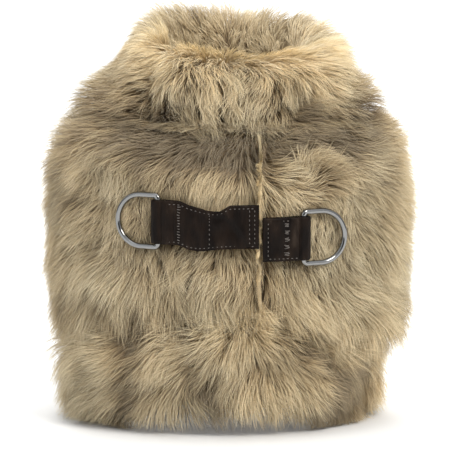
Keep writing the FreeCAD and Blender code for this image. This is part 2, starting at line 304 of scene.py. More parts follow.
def new_mesh(name, points, faces, material):
    mesh = bpy.data.meshes.new(name)
    mesh.from_pydata((np.asarray(points) * MM).tolist(), [], faces)
    mesh.polygons.foreach_set("use_smooth", [True] * len(mesh.polygons))
    mesh.materials.append(material)
    mesh.update()
    return add_object(name, mesh)


def place(piece, body):
    """Ride a piece on its body, unless it belongs to a flap: then its transform is only baked into its
    points.
    """
    if body in ("left_flap", "right_flap"):
        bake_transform(piece)
    else:
        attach(piece, body)
    return piece


def closed_sheet(name, front, back, material, keep=None):
    """A thin closed sheet between two grids of points, front outside and back inside."""
    rows, columns = front.shape[:2]
    points = np.concatenate([front.reshape(-1, 3), back.reshape(-1, 3)])
    total = rows * columns
    cells = np.ones((rows - 1, columns - 1), bool) if keep is None else keep
    faces = []
    edges = {}
    for r, c in zip(*np.nonzero(cells)):
        a = int(r) * columns + int(c)
        corners = [a, a + 1, a + columns + 1, a + columns]
        faces.append(corners)
        faces.append([total + i for i in reversed(corners)])
        for i in range(4):
            start, end = corners[i], corners[(i + 1) % 4]
            if edges.pop((end, start), None) is None:
                edges[(start, end)] = True
    for start, end in edges:
        faces.append([end, start, start + total, end + total])
    used = sorted({i for face in faces for i in face})
    renumber = {old: new for new, old in enumerate(used)}
    faces = [[renumber[i] for i in face] for face in faces]
    return new_mesh(name, points[used], faces, material)


def tube_faces(count, sides, closed=False, first=0):
    """Faces between rings of points numbered from first; both ends are capped unless closed."""
    faces = []
    for i in range(count if closed else count - 1):
        a, b = first + i * sides, first + (i + 1) % count * sides
        for k in range(sides):
            n = (k + 1) % sides
            faces.append([a + k, a + n, b + n, b + k])
    if not closed:
        faces.append([first + k for k in reversed(range(sides))])
        faces.append([first + (count - 1) * sides + k for k in range(sides)])
    return faces


def swept(name, line, across, up, section, material, closed=False):
    """A solid swept along a line: section is a closed outline in across and up."""
    points = (
        line[:, None, :]
        + across[:, None, :] * section[None, :, 0:1]
        + up[:, None, :] * section[None, :, 1:2]
    ).reshape(-1, 3)
    return new_mesh(name, points, tube_faces(len(line), len(section), closed), material)


# ---------------------------------------------------------------- materials

def new_material(name, color, roughness, sheen=0.0, metallic=0.0):
    """A material, its node tree and its shader's inputs."""
    material = bpy.data.materials.new(name)
    material.use_nodes = True
    inputs = material.node_tree.nodes["Principled BSDF"].inputs
    inputs["Base Color"].default_value = (*color, 1)
    inputs["Roughness"].default_value = roughness
    inputs["Metallic"].default_value = metallic
    inputs["Sheen Weight"].default_value = sheen
    return material, material.node_tree, inputs


def feed(tree, socket, value):
    """Give a socket a plain value, or link it to another node's output."""
    if isinstance(value, bpy.types.NodeSocket):
        tree.links.new(value, socket)
    else:
        socket.default_value = value


def add_node(tree, kind, values, output=0, **settings):
    """One output of a new node; values go to its inputs by name or number."""
    node = tree.nodes.new("ShaderNode" + kind)
    for name, setting in settings.items():
        setattr(node, name, setting)
    for key, value in values.items():
        feed(tree, node.inputs[key], value)
    return node.outputs[output]


def maths(tree, operation, *values):
    return add_node(tree, "Math", dict(enumerate(values)), operation=operation)


def multiply(tree, first, second):
    """The product of two colours."""
    values = {"Factor": 1.0, 6: first, 7: second}
    return add_node(tree, "Mix", values, 2, data_type="RGBA", blend_type="MULTIPLY")


def ramp(tree, value, *stops):
    """A colour for each value from 0 to 1."""
    node = tree.nodes.new("ShaderNodeValToRGB")
    elements = node.color_ramp.elements
    while len(elements) < len(stops):
        elements.new(0.5)
    for element, (position, color) in zip(elements, stops):
        element.position = position
        element.color = (*color, 1)
    feed(tree, node.inputs["Fac"], value)
    return node.outputs["Color"]


def noise(tree, scale, detail=3.0, stretch=(1, 1, 1)):
    """Noise in the part's own space; scale is in waves to a metre."""
    where = add_node(tree, "TexCoord", {}, "Object")
    where = add_node(tree, "Mapping", {"Scale": stretch, "Vector": where})
    return add_node(tree, "TexNoise", {"Scale": scale, "Detail": detail, "Vector": where})


def bump(tree, inputs, height, strength, distance):
    values = {"Strength": strength, "Distance": distance, "Height": height}
    feed(tree, inputs["Normal"], add_node(tree, "Bump", values))


def vary_roughness(tree, inputs, value, low, high):
    values = {"To Min": low, "To Max": high, "Value": value}
    feed(tree, inputs["Roughness"], add_node(tree, "MapRange", values))


def fur_material():
    """Strands coloured from root to tip, and from strand to strand, by their own layer."""
    material, tree, inputs = new_material("fur_strands", (0.4, 0.33, 0.23), 0.62, sheen=0.15)
    layer = add_node(tree, "UVMap", {}, uv_map=STRAND_LAYER)
    split = add_node(tree, "SeparateXYZ", {"Vector": layer}).node.outputs
    along = ramp(
        tree, split["X"],
        (0.0, (0.11, 0.072, 0.036)),
        (0.3, (0.30, 0.222, 0.125)),
        (0.65, (0.58, 0.480, 0.315)),
        (1.0, (0.80, 0.715, 0.520)),
    )
    across = ramp(
        tree, split["Y"],
        (0.0, (0.40, 0.37, 0.34)),
        (0.35, (0.80, 0.75, 0.66)),
        (0.6, (0.98, 0.96, 0.92)),
        (1.0, (1.26, 1.23, 1.16)),
    )
    patches = noise(tree, 16.0, 2.0)
    hue = ramp(tree, patches, (0.36, (0.985, 1.0, 1.02)), (0.64, (1.03, 0.995, 0.95)))
    feed(tree, inputs["Base Color"], multiply(tree, multiply(tree, along, across), hue))
    return material


def backing_material():
    """The woven cloth that the fur grows from, seen only between strands."""
    material, tree, inputs = new_material("fur_backing", (0.13, 0.09, 0.05), 0.9)
    threads = noise(tree, 900.0)
    color = ramp(tree, threads, (0.3, (0.10, 0.068, 0.036)), (0.7, (0.22, 0.155, 0.09)))
    feed(tree, inputs["Base Color"], color)
    bump(tree, inputs, threads, 0.6, 0.0006)
    return material


def woven_material(name, dark, light, roughness, threads, sheen=0.2):
    """Plain weave: two sets of threads that cross, with a little unevenness."""
    material, tree, inputs = new_material(name, light, roughness, sheen=sheen)
    where = add_node(tree, "TexCoord", {}, "Object")
    values = {"Scale": threads, "Distortion": 1.2, "Detail": 1.0, "Vector": where}
    waves = [add_node(tree, "TexWave", values, "Fac", bands_direction=way) for way in "XZ"]
    weave = maths(tree, "MULTIPLY", *waves)
    uneven = maths(tree, "MULTIPLY_ADD", weave, 0.7, noise(tree, 60.0))
    feed(tree, inputs["Base Color"], ramp(tree, uneven, (0.25, dark), (1.0, light)))
    bump(tree, inputs, weave, 0.5, 0.0004)
    return material


def strap_material():
    """Near-black brown leather, creased across the strap, with a fine grain."""
    material, tree, inputs = new_material("strap_leather", (0.02, 0.014, 0.011), 0.4)
    inputs["Specular IOR Level"].default_value = 0.09
    grain = noise(tree, 1400.0, 4.0, (1, 1, 0.35))
    creases = noise(tree, 420.0, 5.0, (1, 1, 0.12))
    wear = noise(tree, 160.0, 5.0, (1, 1, 0.4))
    color = ramp(
        tree, wear,
        (0.40, (0.0045, 0.0026, 0.0018)),
        (0.62, (0.012, 0.0068, 0.0042)),
        (0.80, (0.036, 0.025, 0.018)),
    )
    feed(tree, inputs["Base Color"], color)
    vary_roughness(tree, inputs, wear, 0.24, 0.55)
    bump(tree, inputs, maths(tree, "MULTIPLY_ADD", creases, 3.0, grain), 0.55, 0.0004)
    return material


def chrome_material():
    # The base colour is darker than bright chrome: painted shade that stands in for the dark room the
    # rings mirror.
    material, tree, inputs = new_material("ring_chrome", (0.24, 0.24, 0.236), 0.12, metallic=1.0)
    vary_roughness(tree, inputs, noise(tree, 300.0, 6.0), 0.06, 0.14)
    return material


def thread_material():
    material, tree, inputs = new_material("thread", (0.16, 0.13, 0.10), 0.6, sheen=0.2)
    fibres = noise(tree, 2500.0)
    color = ramp(tree, fibres, (0.3, (0.04, 0.033, 0.028)), (0.7, (0.19, 0.165, 0.145)))
    feed(tree, inputs["Base Color"], color)
    return material


# ---------------------------------------------------------------- fur

def nearest_clump(u, v, cell, around, seed):
    """Offset in mm from each root to its clump's middle, and the clump's own random number.

    u and v are in mm; the pattern repeats after `around` mm of u.
    """
    count = max(3, round(around / cell))
    wide = around / count
    gu, gv = np.floor(u / wide), np.floor(v / cell)
    best = np.full(u.shape, 1e9)
    du_best, dv_best, tag = np.zeros_like(u), np.zeros_like(u), np.zeros_like(u)
    for i in (-1, 0, 1):
        for j in (-1, 0, 1):
            cu, cv = gu + i, gv + j
            key = np.mod(cu, count) * 127.1 + cv * 311.7 + seed * 74.7
            r1 = np.mod(np.sin(key) * 43758.5453, 1.0)
            r2 = np.mod(np.sin(key + 19.19) * 24634.6345, 1.0)
            r3 = np.mod(np.sin(key + 47.31) * 35791.9131, 1.0)
            du = (cu + r1) * wide - u
            dv = (cv + r2) * cell - v
            distance = du * du + dv * dv
            closer = distance < best
            best = np.where(closer, distance, best)
            du_best = np.where(closer, du, du_best)
            dv_best = np.where(closer, dv, dv_best)
            tag = np.where(closer, r3, tag)
    return du_best, dv_best, tag


def over_surface(roots, round_by, down_by):
    """Steps over the surface from each root: so far round the vest, so far down it."""
    return roots["round"] * round_by[:, None] + roots["down"] * down_by[:, None]


def strand_lines(roots, seed):
    """Points along every strand, as an array of strands by steps by xyz, and their shades."""
    source = np.random.default_rng(seed)
    count = len(roots["u"])
    u, v = roots["u"], roots["v"]
    around = float(roots["around"][0])
    small = nearest_clump(u, v, 3.0, around, seed)
    large = nearest_clump(u, v, 9.0, around, seed + 5)
    lobe = nearest_clump(u, v, 27.0, around, seed + 9)
    valley = ease((np.hypot(lobe[0], lobe[1]) - 8) / 9)
    scatter = 1 - 0.8 * roots["neat"]
    turn = math.radians(26) * smooth_noise(u, v, 42, seed + 1)
    turn += math.radians(34) * (lobe[2] - 0.5)
    turn += math.radians(44) * (large[2] - 0.5)
    turn += math.radians(34) * (small[2] - 0.5)
    turn += math.radians(11) * source.standard_normal(count)
    angle = roots["angle"] + scatter * turn
    bend = math.radians(50) * (large[2] - 0.5) + math.radians(35) * source.uniform(-0.5, 0.5, count)
    length = roots["length"] * (1 + 0.12 * smooth_noise(u, v, 18, seed + 2))
    length = length * source.uniform(0.72, 1.1, count) * (0.86 + 0.28 * small[2])
    start_spread = 16 * source.uniform(-1, 1, count)
    end_spread = 14 * source.uniform(-1, 1, count) + 24 * (small[2] - 0.5)
    lean_start = np.radians(np.abs(roots["lean_start"] + scatter * start_spread))
    lean_end = np.radians(roots["lean_end"] + scatter * end_spread)

    steps = STRAND_STEPS - 1
    along = np.zeros((count, 3))
    rise = np.zeros(count)
    side_parts = [along]
    rise_parts = [rise]
    for k in range(steps):
        t = (k + 0.5) / steps
        lean = lean_start + (lean_end - lean_start) * t
        heading = angle + bend * (t - 0.3)
        flat = over_surface(roots, np.sin(heading), np.cos(heading))
        along = along + flat * (np.sin(lean) * length / steps)[:, None]
        rise = rise + np.cos(lean) * length / steps
        side_parts.append(along)
        rise_parts.append(rise)
    depth = roots["lobes"] * (valley - 0.3)
    limit = roots["limit"] * (0.80 + 0.24 * large[2] + 0.10 * small[2]) * (1 - 0.26 * depth)
    squeeze = np.minimum(1.0, limit / np.maximum(rise, 1e-3))
    lines = np.empty((count, STRAND_STEPS, 3))
    for k in range(STRAND_STEPS):
        t = k / steps
        gather = 0.6 * scatter * t**1.2
        pull = over_surface(roots, small[0] * gather, small[1] * gather)
        wide = 0.30 * scatter * t**1.5
        pull += over_surface(roots, large[0] * wide, large[1] * wide)
        foot = roots["point"] + side_parts[k] + pull + roots["sweep"] * t**2
        room = pressed_rise(foot) + 100 * roots["neat"]
        up = np.minimum(rise_parts[k] * squeeze, room)
        lines[:, k] = foot + roots["normal"] * up[:, None]
    floor = 0.6 + 0.8 * source.random(count)
    lines[:, :, 2] = np.maximum(lines[:, :, 2], floor[:, None])
    # Strands in the valleys between lobes are painted darker (depth): painted shade in the hollows of the
    # fur.
    shade = (
        0.5
        + 0.15 * smooth_noise(u, v, 60, seed + 3)
        + 0.14 * smooth_noise(u, v, 17, seed + 4)
        + 0.30 * (small[2] - 0.5)
        + 0.20 * (lobe[2] - 0.5)
        - 0.20 * depth
        + 0.14 * source.uniform(-1, 1, count)
        + roots["tint"]
    )
    return lines, np.clip(shade, 0.02, 0.98)


def strand_mesh(name, lines, roots, shade, material, seed):
    """One mesh of flat, tapered ribbons, one along each strand."""
    source = np.random.default_rng(seed + 100)
    count, steps = lines.shape[:2]
    heading = lines[:, -1] - lines[:, 0]
    facing = roots["normal"] + 0.55 * source.standard_normal((count, 3))
    across = np.cross(heading, facing)
    across /= np.maximum(np.linalg.norm(across, axis=-1, keepdims=True), 1e-6)
    width = STRAND_WIDTH * source.uniform(0.7, 1.2, count)
    t = np.linspace(0, 1, steps)
    taper = (1 - t) ** 0.55 * (0.75 + 0.5 * t)
    half = 0.5 * width[:, None] * taper[None, :]
    left = lines[:, :-1] - across[:, None] * half[:, :-1, None]
    right = lines[:, :-1] + across[:, None] * half[:, :-1, None]
    pairs = np.stack([left, right], 2).reshape(count, -1, 3)
    points = np.concatenate([pairs, lines[:, -1:]], 1)
    per_strand = points.shape[1]

    last = 2 * (steps - 2)
    corners = [a + step for a in range(0, last, 2) for step in (0, 1, 3, 2)]
    corners = np.array(corners + [last, last + 1, last + 2])
    loops = (corners[None, :] + per_strand * np.arange(count)[:, None]).reshape(-1)
    starts = 4 * np.arange(steps - 1)
    face_starts = (starts[None, :] + len(corners) * np.arange(count)[:, None]).reshape(-1)

    mesh = bpy.data.meshes.new(name)
    mesh.vertices.add(count * per_strand)
    mesh.vertices.foreach_set("co", (points * MM).astype(np.float32).reshape(-1))
    mesh.loops.add(len(loops))
    mesh.loops.foreach_set("vertex_index", loops.astype(np.int32))
    mesh.polygons.add(len(face_starts))
    mesh.polygons.foreach_set("loop_start", face_starts.astype(np.int32))
    mesh.polygons.foreach_set("use_smooth", np.ones(len(face_starts), bool))
    mesh.update(calc_edges=True)

    t_of = np.concatenate([np.repeat(t[:-1], 2), [1.0]])
    side_of = np.concatenate([np.tile([-1.0, 1.0], steps - 1), [0.0]])
    pale = roots["pale"][:, None]
    u = pale + (1 - pale) * t_of[corners][None, :]
    v = shade[:, None] + 0.012 * side_of[corners][None, :]
    layer = mesh.uv_layers.new(name=STRAND_LAYER)
    layer.data.foreach_set("uv", np.stack([u, v], -1).astype(np.float32).reshape(-1))
    mesh.materials.append(material)
    return add_object(name, mesh)


def footprint_distance(x, z):
    """Distance in mm outside the straps and rings, seen from the back; negative inside."""
    best = np.full(x.shape, 1e3)
    for strap in STRAPS.values():
        side = strap["side"]
        ends = sorted((strap["end_x"], strap["bar_x"]))
        ring = sorted((strap["bar_x"], strap["bar_x"] + side * RING_DEPTH * 0.87))
        shapes = ((ends, STRAP_WIDTH / 2), (ring, RING_INNER_HEIGHT / 2 + RING_WIRE))
        for (low, high), half in shapes:
            dx = np.abs(x - (low + high) / 2) - (high - low) / 2
            dz = np.abs(z - strap["height"]) - half
            outside = np.hypot(np.maximum(dx, 0), np.maximum(dz, 0))
            best = np.minimum(best, np.where((dx < 0) & (dz < 0), np.maximum(dx, dz), outside))
    return best


def pressed_rise(foot):
    """How far fur may rise from the backing at a place: straps and rings press it down."""
    distance = footprint_distance(foot[:, 0], foot[:, 2])
    return np.where(foot[:, 1] < 0, PRESSED_RISE + 15 * ease(distance / 13), 100.0)


def under_strap(x, z):
    inside = np.zeros(x.shape, bool)
    for strap in STRAPS.values():
        low, high = sorted((strap["end_x"], strap["bar_x"]))
        level = np.abs(z - strap["height"]) < STRAP_WIDTH / 2 - 2.5
        inside |= (x > low + 2) & (x < high - 2) & level
    return inside


def leg_hole_distance(x, z):
    """1 on the edge of the nearer leg hole, more outside it."""
    return np.hypot((np.abs(x) - LEG_X) / LEG_HALF_WIDTH, (z - LEG_Z) / LEG_HALF_HEIGHT)


def wall_flow(phi, point):
    """Which way the fur lies: an angle from straight down, growing towards +X at the back.

    On the back it fans out from one spot under the collar, on the waistband from a tuft below
    the opening, and just above the waist seam it hangs straight down.
    """
    x, z = point[:, 0], point[:, 2]
    seam = z - waist_line(phi)
    back = np.exp(-((np.abs(phi) / 1.35) ** 4))
    dx = phi * BACK_RADIUS - np.where(seam < 0, TUFT_X, FAN_X)
    dz = z - np.where(seam < 0, TUFT_Z, FAN_Z)
    reach = np.hypot(dx, dz) + 6
    hanging = (seam > 0) * bell(seam, 0, 22) * back
    across = back * dx / reach * (1 - 0.75 * hanging)
    down = back * (-dz / reach + 0.28) + (1 - back) * (0.25 + 0.75 * ease((150 - z) / 60))
    across += (1 - back) * 0.45 * np.sin(phi)
    across += back * 0.3 * np.sign(x - OPENING_X) * bell(x, OPENING_X, 7) * (seam > 0)
    chest = (np.abs(phi) > TAU / 4) * 1.0
    away = chest * bell(np.maximum(leg_hole_distance(x, z), 1), 1, 0.28)
    across += -away * 1.4 * (np.abs(x) - LEG_X) / LEG_HALF_WIDTH * np.sign(x)
    down += -away * 1.4 * (z - LEG_Z) / LEG_HALF_HEIGHT
    swirl = 2.4 * np.exp(-((x - SWIRL_X) ** 2 + (z - SWIRL_Z) ** 2) / SWIRL_REACH**2) * (1 - chest)
    return np.arctan2(across, down) + swirl


def roots_on(surface, phi, row, step, radius, path=1.0):
    """Roots at angles and rows of a surface; grown() adds how their strands grow."""
    point, normal, round_way, down_way = surface_frame(surface, phi, row, step)
    count = len(phi)
    return {
        "u": (phi + math.pi) * radius,
        "v": row * path,
        "around": np.full(count, TAU * radius),
        "phi": phi,
        "point": point,
        "normal": normal,
        "round": round_way,
        "down": down_way,
        "tint": np.zeros(count),
        "pale": np.zeros(count),
        "neat": np.zeros(count),
    }


def grown(roots, **settings):
    """Roots with settings for their strands; a single value holds for all of them."""
    for key, value in settings.items():
        vector = key in ("normal", "down", "sweep")
        roots[key] = np.broadcast_to(value, roots["point"].shape if vector else roots["phi"].shape)
    return roots


def wall_roots():
    """Roots spread over the whole wall, above and below the waist seam."""
    z_high = WALL_TOP - 1
    spread = int(TAU * WALL_RADIUS * z_high * WALL_DENSITY)
    phi = draw.uniform(-math.pi, math.pi, spread)
    phi = np.append(phi, draw.normal(TUFT_X / BACK_RADIUS, 0.10, TUFT_STRANDS))
    z = draw.uniform(1.5, z_high, spread)
    z = np.append(z, draw.normal(TUFT_Z - 13, 4.5, TUFT_STRANDS))
    count = len(phi)
    roots = roots_on(wall_point, phi, z, -0.5, WALL_RADIUS)
    x, y = roots["point"][:, 0], roots["point"][:, 1]
    back = y < 0
    seam = z - waist_line(phi)
    keep = ~(back & under_strap(x, z))
    keep &= ~(back & (x > OPENING_X - 0.3) & (x < OPENING_X + 1.7) & (z < 160) & (seam > -6))
    keep &= ~((~back) & (leg_hole_distance(x, z) < 1.13))
    keep &= np.abs(seam) > 1.2
    keep &= z > hem_line(phi) + 1.0
    length = np.full(count, FUR_LENGTH)
    limit = np.full(count, FUR_HEIGHT)
    lean_start = np.full(count, FUR_LEAN[0])
    lean_end = np.full(count, FUR_LEAN[1])
    tint, pale = np.zeros(count), np.zeros(count)
    sweep = np.tile([0.0, 0.0, -3.0], (count, 1))
    flank = np.sin(phi) ** 4
    limit += 2.0 * flank
    length += 1.5 * flank
    # Painted shade: the left flank, the side away from the key lamp, is painted darker.
    tint -= 0.14 * bell(phi, -1.1, 0.5)
    press = np.where(back, footprint_distance(x, z), 1e3)
    length *= 0.60 + 0.40 * ease(press / 14)
    beside = back * bell(x, OPENING_X, 6) * (seam > 0)
    limit *= 1 - 0.28 * beside
    # Under the collar's edge the fur of the back is pressed down and painted darker: painted shadow of the
    # collar's edge.
    edge = 154 - 10 * bell(phi, 0.1, 0.7)
    top = ease((z - edge) / 10) * np.cos(phi) ** 2 * back
    limit *= 1 - 0.55 * top
    length *= 1 - 0.35 * top
    tint -= (0.38 + 0.34 * bell(phi, -0.1, 0.45)) * top
    # Short flat fur just above the waist seam, fur that stands out just below it. The fur just above is
    # painted darker, a painted shade in the crease, and the fur just below lighter with paler roots, a
    # painted highlight on the band's top edge.
    above = (seam > 0) * (1 - ease(seam / 12))
    below = (seam < 0) * (1 - ease(-seam / 12))
    length *= 1 - 0.30 * above - 0.15 * below
    limit *= 1 - 0.22 * above
    lean_start -= 14 * below
    lean_end += 12 * above - 8 * below
    tint += 0.20 * below - 0.20 * above
    pale += 0.30 * below
    # A brighter tuft stands out over the seam under the opening.
    tuft = (seam < 0) * back * bell(x, TUFT_X, 15) * ease((seam + 13) / 8)
    lean_end -= 14 * tuft
    length *= 1 + 0.25 * tuft
    limit += 4 * tuft
    sweep[:, 2] += 6 * tuft
    tint += 0.12 * tuft
    pale += 0.30 * tuft
    # The waistband's two back pieces part low down, right of the middle; the parting is painted darker, a
    # painted shade in the gap.
    notch = back * bell(x, NOTCH_X, 3.5) * ease((NOTCH_TOP - z) / 12)
    limit *= 1 - 0.45 * notch
    length *= 1 - 0.25 * notch
    tint -= 0.45 * notch
    # The hem's fur curls in under the vest and is painted darker there: painted shade under the hem.
    under = 1 - ease((z - hem_line(phi)) / 18)
    lean_start += 20 * under
    lean_end += 30 * under
    length *= 1 - 0.25 * under
    tint -= 0.20 * under
    angle = wall_flow(phi, roots["point"])
    lobes = 1.0 + 1.8 * (seam < 0)
    return select(grown(
        roots, angle=angle, length=length, limit=limit, lean_start=lean_start,
        lean_end=lean_end, tint=tint, pale=pale, lobes=lobes, sweep=sweep,
    ), keep)


def edge_fringe():
    """Dense pale fur that stands up along the left edge of the opening, painted brighter still: painted
    light that lifts it out of the gap's shade.
    """
    count = FRINGE_STRANDS
    x = draw.uniform(OPENING_X - 1.2, OPENING_X - 0.2, count)
    z = draw.uniform(WAIST_HEIGHT + 6, 158, count)
    phi = np.arcsin(x / smooth_rows(z, BACKING, 1))
    uneven = smooth_noise(z, 0 * z, 13, 71)
    roots = roots_on(wall_point, phi, z, -0.5, WALL_RADIUS)
    return grown(
        roots,
        angle=draw.uniform(-0.4, 0.4, count),
        length=FRINGE_LENGTH,
        limit=np.where(footprint_distance(x, z) < 2, 15.5, 18.0 - 2.0 * uneven),
        lean_start=0.0,
        lean_end=4.0,
        tint=0.34 - 0.14 * uneven,
        pale=0.62,
        neat=0.92,
        lobes=0.0,
        sweep=np.outer(-3.0 + 1.4 * uneven, [1.0, 0.0, 0.0]),
    )


def select(roots, keep):
    """The roots that a mask or a list of numbers keeps."""
    return {key: value[keep] for key, value in roots.items()}


def joined(first, second):
    """Two sets of roots as one."""
    return {key: np.concatenate([value, second[key]]) for key, value in first.items()}


def collar_roots():
    """Roots over the collar: short inside the neck, long over the crest and outside."""
    lowest = 0.27
    count = int(TAU * COLLAR_RADIUS * COLLAR_PATH * (1 - lowest) * COLLAR_DENSITY)
    phi = draw.uniform(-math.pi, math.pi, count)
    share = draw.uniform(lowest, 1.0, count)
    roots = roots_on(collar_point, phi, share, 0.01, COLLAR_RADIUS, COLLAR_PATH)
    x = roots["point"][:, 0]
    back = np.abs(phi) < TAU / 4
    parting = back * bell(x, COLLAR_OPENING_X, 6)
    crease = collar_crease(phi, share)
    beside = bell(phi, COLLAR_CREASE_ANGLE, 0.3) * ease((share - 0.45) / 0.2)
    outside = ease((share - COLLAR_CREST + 0.2) / 0.2)
    middle = bell(phi, 0.05, 0.6) * ease((share - 0.6) / 0.2)
    across = 0.05 * np.sign(x - COLLAR_OPENING_X) * parting
    across += 0.40 * np.sin(phi) * (1 - middle) - 1.3 * (phi - 0.05) * middle
    across += 0.7 * np.sign(phi - COLLAR_CREASE_ANGLE) * beside
    crest = bell(share, COLLAR_CREST, 0.16)
    turn_over = bell(share, COLLAR_CREST - 0.07, 0.13)
    slim = bell(phi, -1.5, 0.8) * bell(share, 0.58, 0.2)
    lip = ease((share - 0.8) / 0.2)
    front = back * bell(share, 0.68, 0.14)
    shadow = lip * (0.32 * back + 0.28 * bell(phi, 0.0, 0.35)) + 0.35 * collar_dent(phi, share)
    outward = np.stack([np.sin(phi), -np.cos(phi), -0.35 + 0 * phi], -1)
    chest = ease(-np.cos(phi) / 0.5)
    keep = ~(back & (np.abs(x - COLLAR_OPENING_X) < 0.3) & (share > 0.3))
    roots = grown(
        roots,
        angle=np.arctan2(across, 1.0),
        length=(10 + 12 * outside) * (1 - 0.35 * crease - 0.28 * slim),
        limit=(7 + 9 * outside - 3.5 * crest) * (1 - 0.5 * crease - 0.2 * slim),
        lean_start=14 + 10 * crest,
        lean_end=66 + 10 * crest,
        # Painted light and shade: the crest and the collar's front are painted lighter, the crest less on
        # the chest side where the back lamp falls, and the crest's roots paler; the fold on the left is
        # painted darker; shadow is painted shadow under the lip and in the hollow on the right.
        tint=(0.22 - 0.20 * chest) * crest + (0.18 - 0.12 * chest) * bell(share, 0.5, 0.1)
        + 0.16 * front - 0.24 * crease - shadow,
        pale=(0.65 - 0.25 * chest) * bell(share, COLLAR_CREST - 0.04, 0.16),
        lobes=0.6,
        sweep=outward * (9 * turn_over * (1 - 0.8 * slim))[:, None],
    )
    return select(roots, keep)


def yoke_roots():
    """Roots on the short slope between the wall's top edge and the neck, under the collar."""
    count = int(TAU * YOKE_RADIUS * YOKE_SHARE * 2 * COLLAR_PATH * YOKE_DENSITY)
    phi = draw.uniform(-math.pi, math.pi, count)
    share = draw.uniform(0.0, YOKE_SHARE, count)
    roots = roots_on(collar_point, phi, share, 0.005, COLLAR_RADIUS, COLLAR_PATH)
    return grown(
        roots,
        normal=-roots["normal"],
        down=-roots["down"],
        angle=0.5 * np.sin(phi),
        length=18.0,
        limit=7.0,
        lean_start=30.0,
        lean_end=84.0,
        # Painted shade: under the collar the yoke's fur is painted darker, most at the back.
        tint=-0.12 - 0.24 * (np.abs(phi) < TAU / 4),
        lobes=0.6,
        sweep=(0.0, 0.0, -2.0),
    )


def plant(zone, roots, opening_x, material, seed):
    """Pieces of fur of one zone, by body; a crowded body gets its fur in several pieces."""
    x, y = roots["point"][:, 0], roots["point"][:, 1]
    left = x < opening_x
    masks = {"chest": y >= 0, "left_flap": (y < 0) & left, "right_flap": (y < 0) & ~left}
    made = {}
    for body, mask in masks.items():
        node = f"{body.removesuffix('_flap')}_{zone}"
        own = select(roots, mask)
        order = np.argsort(own["u"])
        parts = np.array_split(order, math.ceil(len(order) / MOST_STRANDS))
        made[node] = []
        for number, part in enumerate(parts):
            some = select(own, part)
            lines, shade = strand_lines(some, seed)
            piece = strand_mesh(
                f"{node}_pile_{number + 1}", lines, some, shade, material, seed + number
            )
            place(piece, body)
            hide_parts(node)
            made[node].append(piece)
    return made


# ---------------------------------------------------------------- cloth under the fur

def phi_span(body, half_width, opening_x, across=None):
    """First and last angle of a body's cloth in each row, or of a strip of it at the back."""
    quarter = TAU / 4
    if across is not None:
        return [np.arcsin(np.clip(x / half_width, -1, 1)) for x in across]
    opening = np.arcsin(opening_x / half_width)
    if body == "chest":
        return np.full_like(half_width, quarter), np.full_like(half_width, 3 * quarter)
    if body == "left_flap":
        return np.full_like(half_width, -quarter), opening - 0.003
    return opening + 0.003, np.full_like(half_width, quarter)


def wall_sheet(name, body, material, span, lifts, grid, across=None):
    """A sheet of the wall between two lifts, with the leg holes cut out of the chest.

    span holds its bottom and top edges, each a height or a function from angle to height.
    """
    rows, columns = grid
    share = np.linspace(0, 1, rows)
    flat_edges = [edge(0.0) if callable(edge) else edge for edge in span]
    level = flat_edges[0] + (flat_edges[1] - flat_edges[0]) * share
    half_width = smooth_rows(level, BACKING, 1) + lifts[0]
    first, last = phi_span(body, half_width, OPENING_X, across)
    phi = first[:, None] + (last - first)[:, None] * np.linspace(0, 1, columns)[None, :]
    low, high = [edge(phi) if callable(edge) else edge for edge in span]
    z = low + (high - low) * share[:, None] + 0 * phi
    front = wall_point(phi, z, lifts[0])
    keep = None
    if body == "chest":
        distance = leg_hole_distance(front[..., 0], front[..., 2])
        edge = (distance > 0.82) & (distance < 1.09)
        shrink = np.where(edge, np.maximum(distance, 1e-3), 1.0)
        x = np.sign(front[..., 0]) * (LEG_X + (np.abs(front[..., 0]) - LEG_X) / shrink)
        z = np.where(edge, LEG_Z + (z - LEG_Z) / shrink, z)
        half_width = smooth_rows(z, BACKING, 1) + lifts[0]
        phi = np.where(edge, math.pi - np.arcsin(np.clip(x / half_width, -1, 1)), phi)
        front = wall_point(phi, z, lifts[0])
        inner = leg_hole_distance(front[..., 0], front[..., 2]) < 0.995
        keep = ~(inner[:-1, :-1] | inner[1:, :-1] | inner[:-1, 1:] | inner[1:, 1:])
    back = wall_point(phi, z, lifts[1])
    return place(closed_sheet(name, front, back, material, keep), body)


def collar_sheet(name, body, material):
    """The collar's cloth of one body, from the wall's top edge over the crest to the lip."""
    shares = np.linspace(0, 1, 40)
    radius = smooth_rows(shares, COLLAR_SHARES, 1)
    first, last = phi_span(body, radius, COLLAR_OPENING_X)
    spread = np.linspace(0, 1, 50)
    phi = first[:, None] + (last - first)[:, None] * spread[None, :]
    share = shares[:, None] + 0 * phi
    front = collar_point(phi, share, 0.6)
    back = collar_point(phi, share, -0.6)
    return place(closed_sheet(name, front, back, material), body)


# ---------------------------------------------------------------- straps and rings

def rounded_section(width, thickness, corner_points=4):
    """A closed outline as wide as a strap, with round edges: across the face, along the width."""
    radius = thickness / 2
    outline = []
    for centre, start in ((width / 2 - radius, 0.0), (-width / 2 + radius, math.pi)):
        for i in range(corner_points + 1):
            turn = start - math.pi / 2 + math.pi * i / corner_points
            outline.append((radius * math.sin(turn), centre + radius * math.cos(turn)))
    return np.array(outline)


def strap_at(strap, x):
    """A point of a strap's line in plan, and the outward normal there."""
    height = np.full_like(x, strap["height"])
    half_width = smooth_rows(height, BACKING, 1) + strap["lift"]
    half_depth = smooth_rows(height, BACKING, 2) + strap["lift"]
    y = -half_depth * np.sqrt(1 - (x / half_width) ** 2)
    normal = unit(np.stack([x / half_width**2, y / half_depth**2, 0 * x], -1))
    return np.stack([x, y, height], -1), normal


def bar_centre(strap):
    point, normal = strap_at(strap, np.array([strap["bar_x"]]))
    return point[0] - normal[0] * SLEEVE


